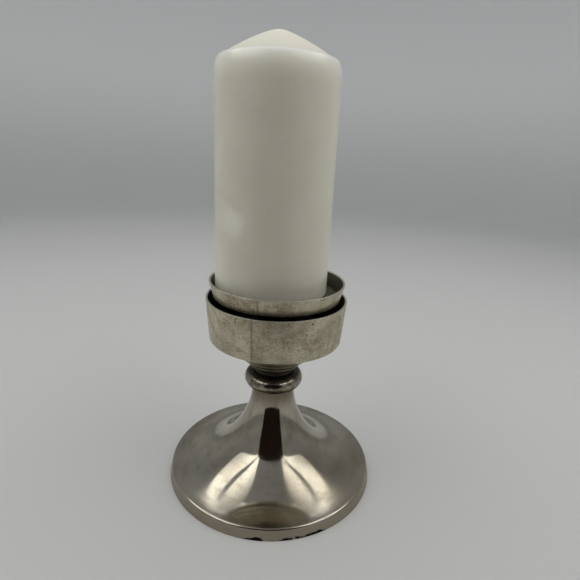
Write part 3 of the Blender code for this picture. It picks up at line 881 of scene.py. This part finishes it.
def candle_wax():
    """White wax: faintly green where it is thin, smudged, with soft dimples; painted light under the
    shoulder and on the dent's facet, painted shade in the dent's crease and at the dome's base.
    """
    f = Finish("candle_wax", Subsurface_Weight=0.6, Subsurface_Scale=0.012, Coat_Roughness=0.10)
    f.shader.inputs["Subsurface Radius"].default_value = (1.0, 0.95, 0.7)
    cloud = f.noise(f.place, 0.03).ramp(0.35, 0.7)
    smudge = f.noise(f.place, 0.008, 4.0).ramp(0.5, 0.75)
    colour = f.tint(cloud, (0.785, 0.765, 0.645, 1), (0.75, 0.725, 0.605, 1))
    colour = f.tint(smudge * 0.2, colour, (0.71, 0.69, 0.56, 1))
    turn = f.x.maths("ARCTAN2", f.y - candle_y, f.x - candle_x)
    along = (turn - DENT_ANGLE) * CANDLE_RADIUS
    above = f.z - DENT_HEIGHT
    forwards = along * math.cos(DENT_SLOPE) + above * math.sin(DENT_SLOPE)
    upwards = above * math.cos(DENT_SLOPE) - along * math.sin(DENT_SLOPE)
    # Painted light on the dent: its facet is painted paler, partly standing for light on its turned face and
    # partly for whitened bruised wax.
    bruise_and_facet_light = upwards.ramp(DENT_UPPER_EDGE, -0.002) * upwards.ramp(DENT_LOWER_EDGE, -0.004)
    bruise_and_facet_light = bruise_and_facet_light * forwards.ramp(DENT_LENGTH, 0.55 * DENT_LENGTH)
    bruise_and_facet_light = bruise_and_facet_light * forwards.ramp(-DENT_LENGTH, 0.4 * DENT_LENGTH)
    colour = f.tint(bruise_and_facet_light * 0.55, colour, (0.96, 0.95, 0.85, 1))
    # Painted shade: a thin darker line along the dent's upper edge, standing for shade in the crease.
    crease = abs(upwards - DENT_UPPER_EDGE).ramp(0.0009, 0.0) * abs(forwards + 0.006).ramp(0.008, 0.003)
    colour = f.tint(crease * 0.3, colour, (0.50, 0.49, 0.38, 1))
    # Painted light: a pale band just under the shoulder, standing for light carried through the wax from the
    # top.
    painted_shoulder_light = f.z.ramp(side_top[1] - 0.004, CANDLE_SHOULDER)
    painted_shoulder_light = painted_shoulder_light * f.z.ramp(CANDLE_SHOULDER + 0.0014, CANDLE_SHOULDER)
    dome = f.z.ramp(CANDLE_SHOULDER, CANDLE_SHOULDER + 0.002)
    # Painted shade: the dome is painted darker at its base, fading out towards the tip.
    colour = f.tint(f.z.ramp(wax_high.z, CANDLE_SHOULDER) * dome * 0.35, colour, (0.60, 0.595, 0.51, 1))
    f.plug(0.5 - dome * 0.4, f.shader.inputs["Coat Weight"])
    colour = f.tint(painted_shoulder_light * 0.75, colour, (0.97, 0.955, 0.86, 1))
    return f.surface(colour, 0.36 + smudge * 0.12 + dome * 0.24, smudge * 0.00008 + cloud * 0.0002, 0.3)


wax_line = []
bore_share = (WICK_BORE / shoulder) ** CANDLE_DOME_POWER
dome_height = (wax_high.z - WAX_DENT / 2 - CANDLE_SHOULDER) / (1 - bore_share)
for i in range(DOME_STEPS):
    radius = WICK_BORE + (shoulder - WICK_BORE) * i / DOME_STEPS
    wax_line.append((radius, CANDLE_SHOULDER + dome_height * (1 - (radius / shoulder) ** CANDLE_DOME_POWER)))
wax_line.append((shoulder - 2 * RIDGE_WIDTH, CANDLE_SHOULDER - RIDGE_GROOVE))
for i in range(RIDGE_STEPS + 1):
    turn = math.pi * (1 - 0.75 * i / RIDGE_STEPS)
    crest = RIDGE_WIDTH * math.sin(turn)
    wax_line.append((shoulder - RIDGE_WIDTH + RIDGE_WIDTH * math.cos(turn), CANDLE_SHOULDER + crest))
ridge_end = wax_line[-1]
wax_line += eased_corner(ridge_end, (CANDLE_RADIUS, ridge_end[1] - RIDGE_FALL), side_top, 14)[1:]
SIDE_RINGS = 110
side_foot = wax_low.z + CANDLE_FOOT_ROUND
for i in range(1, SIDE_RINGS):
    wax_line.append((CANDLE_RADIUS, side_top[1] + (side_foot - side_top[1]) * i / SIDE_RINGS))
foot_corner = (CANDLE_RADIUS, wax_low.z)
wax_line += eased_corner(
    (CANDLE_RADIUS, side_foot), foot_corner, (CANDLE_RADIUS - CANDLE_FOOT_ROUND, wax_low.z), 8
)
wax_line.append((WICK_BORE, wax_low.z))
wax = lathe("wax", wax_line, candle_wax(), steps=192, dent=WAX_DENT, dent_size=0.04, seed=11.0)


def smooth_step(values, low, high):
    """0 at low, 1 at high, with a smooth step between."""
    share = np.clip((values - low) / (high - low), 0.0, 1.0)
    return share * share * (3 - 2 * share)


def press_dent(piece):
    """Presses a hollow into the side of the wax, with a crease along its upper edge."""
    places = np.empty(len(piece.data.vertices) * 3, np.float32)
    piece.data.vertices.foreach_get("co", places)
    places = places.reshape(-1, 3)
    along = (np.arctan2(places[:, 1], places[:, 0]) - DENT_ANGLE) * CANDLE_RADIUS
    above = places[:, 2] - DENT_HEIGHT
    forwards = along * math.cos(DENT_SLOPE) + above * math.sin(DENT_SLOPE)
    upwards = above * math.cos(DENT_SLOPE) - along * math.sin(DENT_SLOPE)
    depth = DENT_DEPTH * smooth_step(upwards, DENT_UPPER_EDGE, DENT_UPPER_EDGE - 0.0045)
    depth *= smooth_step(upwards, DENT_LOWER_EDGE, -0.001)
    depth *= smooth_step(forwards, DENT_LENGTH, -0.2 * DENT_LENGTH)
    depth *= smooth_step(forwards, -1.5 * DENT_LENGTH, -0.4 * DENT_LENGTH)
    places[:, :2] *= (1 - depth / CANDLE_RADIUS)[:, None]
    piece.data.vertices.foreach_set("co", places.ravel())


press_dent(wax)
wax.data.transform(Matrix.Translation((candle_x, candle_y, 0.0)))
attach(wax, "candle")
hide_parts("wax_pillar")


def cotton():
    """Braided cotton soaked with wax."""
    f = Finish("cotton_braid", Roughness=0.8)
    braid = f.noise(f.join(f.x, f.y, f.z * 0.4), 0.0008, 3.0)
    colour = f.tint(braid.ramp(0.35, 0.65), (0.62, 0.60, 0.52, 1), (0.84, 0.82, 0.75, 1))
    return f.surface(colour, None, braid * 0.0002, 0.7)


wick_radius = (wick_high.x - wick_low.x) / 2
wick_line = [(0.0, wick_high.z), (wick_radius, wick_high.z), (wick_radius, wick_low.z), (0.0, wick_low.z)]
wick = lathe("braided_wick", wick_line, cotton(), steps=24)
wick.data.transform(Matrix.Translation((candle_x, candle_y, 0.0)))
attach(wick, "candle")
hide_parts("wick")

# Studio: a pale floor that sweeps up into a round wall, two soft panels over each side and a lamp above.
# A dark card stands behind the camera, unseen by it, and darkens what the front of the metal and wax show.
STUDIO_RADIUS = 1.7
STUDIO_HEIGHT = 1.5
STUDIO_BEND = 0.5


def studio_paint():
    """Matt pale paint."""
    f = Finish("studio_paint", Roughness=0.7, Specular_IOR_Level=0.2)
    cloud = f.noise(f.place, 0.6)
    wall = f.z.ramp(0.0, STUDIO_BEND)
    colour = f.tint(cloud, (0.605, 0.61, 0.605, 1), (0.58, 0.585, 0.58, 1))
    return f.surface(f.tint(wall, colour, (0.91, 0.915, 0.92, 1)))


studio_line = [(0.0, 0.0), (STUDIO_RADIUS - STUDIO_BEND, 0.0)]
studio_line += eased_corner(studio_line[-1], (STUDIO_RADIUS, 0.0), (STUDIO_RADIUS, STUDIO_BEND), 16)
studio_line.append((STUDIO_RADIUS, STUDIO_HEIGHT))
studio = bpy.data.objects.new("studio", bpy.data.meshes.new("studio"))
bpy.context.scene.collection.objects.link(studio)
studio_shape = bmesh.new()
studio_points = [studio_shape.verts.new((r, 0.0, z)) for r, z in studio_line]
studio_edges = [studio_shape.edges.new(pair) for pair in zip(studio_points, studio_points[1:])]
bmesh.ops.spin(
    studio_shape,
    geom=studio_points + studio_edges,
    axis=(0, 0, 1),
    cent=(0, 0, 0),
    steps=96,
    angle=math.tau,
)
bmesh.ops.remove_doubles(studio_shape, verts=studio_shape.verts, dist=0.00001)
studio_shape.to_mesh(studio.data)
studio_shape.free()
studio.data.shade_smooth()
studio.data.materials.append(studio_paint())


def card_cloth():
    """Dark cloth."""
    f = Finish("card_cloth", Roughness=1.0, Specular_IOR_Level=0.0)
    return f.surface(f.tint(f.noise(f.place, 0.05), (0.02, 0.013, 0.011, 1), (0.05, 0.032, 0.028, 1)))


CARD_DISTANCE = 0.31
CARD_WIDTH = 0.42
CARD_HEIGHT = 0.34
CARD_FOOT = -0.02
card = bpy.data.objects.new("card", bpy.data.meshes.new("card"))
bpy.context.scene.collection.objects.link(card)
card_shape = bmesh.new()
card_places = [(-0.5, CARD_FOOT), (0.5, CARD_FOOT), (0.5, 1.0), (-0.5, 1.0)]
card_shape.faces.new(
    [card_shape.verts.new((x * CARD_WIDTH, -CARD_DISTANCE, z * CARD_HEIGHT)) for x, z in card_places]
)
card_shape.to_mesh(card.data)
card_shape.free()
card.data.materials.append(card_cloth())
card.visible_camera = False
card.visible_shadow = False

world = bpy.data.worlds.new("studio_air")
bpy.context.scene.world = world
world.use_nodes = True
world.node_tree.nodes["Background"].inputs["Color"].default_value = (0.93, 0.96, 1.0, 1)
world.node_tree.nodes["Background"].inputs["Strength"].default_value = 0.32


def lamp(name, place, target, size, watts):
    """A soft lamp that faces a point."""
    light = bpy.data.lights.new(name, "AREA")
    light.shape = "RECTANGLE"
    light.size, light.size_y = size
    light.energy = watts
    obj = bpy.data.objects.new(name, light)
    bpy.context.scene.collection.objects.link(obj)
    obj.location = place
    obj.rotation_euler = (Vector(target) - Vector(place)).to_track_quat("-Z", "Y").to_euler()


# The panels' ends are given in degrees from straight overhead, to the side and to the back.
PANEL_BACK = Vector((10.1, 41.1))
PANEL_FRONT = Vector((24.6, -43.5))
PANEL_INNER = (-3.0, 13.6)
PANEL_OUTER = (18.4, 38.5)
PANEL_SKEW = 1.4
PANEL_DISTANCE = 1.2
PANEL_BACKING = 0.01
PANEL_ROWS = 6
PANEL_STEPS = 32
PANEL_GLOW = 2.55
panel_chord = PANEL_FRONT - PANEL_BACK
panel_out = Vector((-panel_chord.y, panel_chord.x)).normalized()


def panel_cloth(name, dim, dim_edge, bright_edge):
    """Lit diffusing cloth that dims towards one edge; the edges are given as sideways run over height."""
    f = Finish(name, Roughness=1.0, Specular_IOR_Level=0.0, Emission_Strength=PANEL_GLOW)
    f.shader.inputs["Base Color"].default_value = (0.02, 0.02, 0.02, 1)
    share = (abs(f.x) / f.z).ramp(dim_edge, bright_edge)
    f.plug(f.tint(share, dim, (1.0, 0.99, 0.96, 1)), f.shader.inputs["Emission Color"])
    return f.material


def panel_place(side, along, bulge, distance):
    """A point of a panel; along runs from back to front, bulge is in degrees off the panel's chord."""
    lean = PANEL_BACK + panel_chord * along + panel_out * bulge * math.sin(math.pi * along**PANEL_SKEW)
    tilt = math.radians(lean.length)
    level = lean.normalized() * math.sin(tilt)
    return Vector((side * level.x, level.y, math.cos(tilt))) * distance


def panel(name, side, low, high, cloth):
    """A curved soft panel over one side of the table, backed with dark cloth and unseen by the camera."""
    piece = bpy.data.objects.new(name, bpy.data.meshes.new(name))
    bpy.context.scene.collection.objects.link(piece)
    shape = bmesh.new()
    for backed, distance in enumerate((PANEL_DISTANCE, PANEL_DISTANCE + PANEL_BACKING)):
        rows = []
        for bulge in np.linspace(low, high, PANEL_ROWS + 1):
            shares = np.linspace(0.0, 1.0, PANEL_STEPS + 1)
            rows.append([shape.verts.new(panel_place(side, share, bulge, distance)) for share in shares])
        for row, upper in zip(rows, rows[1:]):
            for i in range(PANEL_STEPS):
                face = shape.faces.new((row[i], row[i + 1], upper[i + 1], upper[i]))
                face.material_index = backed
    bmesh.ops.remove_doubles(shape, verts=shape.verts, dist=0.0005)
    shape.to_mesh(piece.data)
    shape.free()
    piece.data.materials.append(cloth)
    piece.data.materials.append(card.data.materials[0])
    piece.visible_camera = False


inner_cloth = panel_cloth("inner_cloth", (0.12, 0.12, 0.11, 1), dim_edge=0.16, bright_edge=0.58)
outer_cloth = panel_cloth("outer_cloth", (0.45, 0.45, 0.43, 1), dim_edge=1.5, bright_edge=0.8)
for side, word in ((-1, "left"), (1, "right")):
    panel("panel_inner_" + word, side, *PANEL_INNER, inner_cloth)
    panel("panel_outer_" + word, side, *PANEL_OUTER, outer_cloth)
lamp("lamp_top", place=(0.0, 0.50, 1.25), target=(0, 0, 0.1), size=(0.9, 0.6), watts=1.9)

# Camera: the photo's own view, found by fitting a pinhole camera to the outlines of the foot, cup and pan.
# It stands about as high as the middle of the candle, looks down a little and is rolled by a few degrees.
FOCAL_PIXELS = 454.33
FRAME_PIXELS = 580
CAMERA_PITCH = math.radians(18.1415)
CAMERA_ROLL = math.radians(-2.8061)
CAMERA_YAW = math.radians(1.7337)
CAMERA_PLACE = Vector((0.0, -3.927, 3.1592)) * FOOT_RADIUS
view_ahead = Vector(
    (
        math.sin(CAMERA_YAW) * math.cos(CAMERA_PITCH),
        math.cos(CAMERA_YAW) * math.cos(CAMERA_PITCH),
        -math.sin(CAMERA_PITCH),
    )
)
level_right = Vector((math.cos(CAMERA_YAW), -math.sin(CAMERA_YAW), 0.0))
level_up = level_right.cross(view_ahead)
view_right = level_right * math.cos(CAMERA_ROLL) - level_up * math.sin(CAMERA_ROLL)
view_up = level_right * math.sin(CAMERA_ROLL) + level_up * math.cos(CAMERA_ROLL)
lens = bpy.data.cameras.new("camera")
lens.sensor_width = 36.0
lens.lens = lens.sensor_width * FOCAL_PIXELS / FRAME_PIXELS
lens.clip_start = 0.01
camera = bpy.data.objects.new("camera", lens)
bpy.context.scene.collection.objects.link(camera)
turn_to = Matrix((view_right, view_up, -view_ahead)).transposed().to_4x4()
camera.matrix_world = Matrix.Translation(CAMERA_PLACE) @ turn_to
bpy.context.scene.camera = camera
bpy.context.scene.view_settings.view_transform = "Standard"
